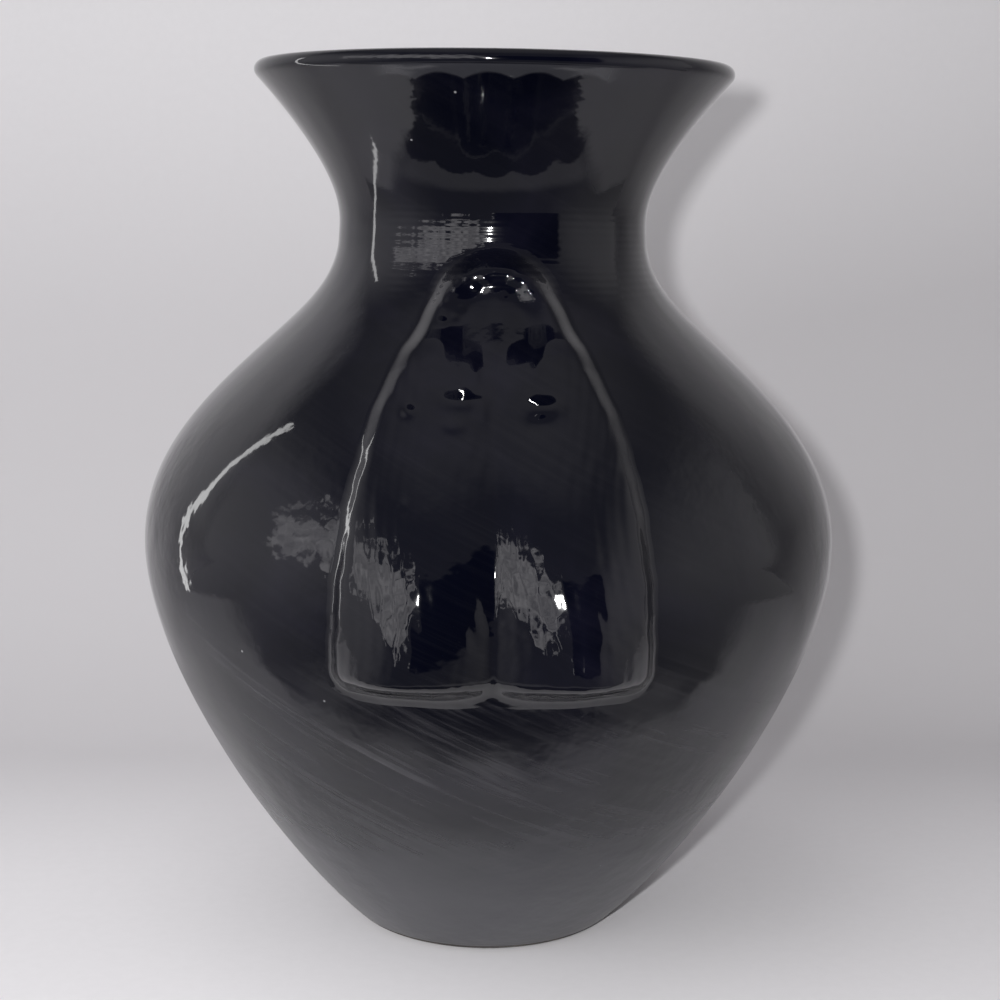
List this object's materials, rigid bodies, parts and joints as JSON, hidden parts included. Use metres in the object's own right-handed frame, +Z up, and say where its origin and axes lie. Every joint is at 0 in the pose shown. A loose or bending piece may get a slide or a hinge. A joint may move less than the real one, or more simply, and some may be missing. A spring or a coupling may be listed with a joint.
{
  "type": "vase",
  "caption": "Wide-shouldered glazed vase for cut flowers, with a flared neck, a rounded lip, a small flat base and a raised, pillow-like relief on its front.",
  "frame": {"origin": "middle of the flat base, on the pot's axis, on the plane the vase stands on", "axes": "+Z up along the pot's axis towards the mouth, -Y towards the front with the relief, +X to the right of someone who faces the front"},
  "size_m": [0.2008, 0.2091, 0.25],
  "materials": {
    "base": "satin dark clay",
    "lower_body": "glossy black glaze",
    "shoulder": "glossy black glaze",
    "neck": "glossy black glaze",
    "rim_lip": "glossy black glaze",
    "relief": "glossy black glaze"
  },
  "bodies": {
    "root": {"base": "base", "lower_body": "lower_body", "shoulder": "shoulder", "neck": "neck", "rim_lip": "rim_lip", "relief_lobe_left": "relief", "relief_lobe_right": "relief", "relief_hood": "relief"}
  },
  "joints": []
}
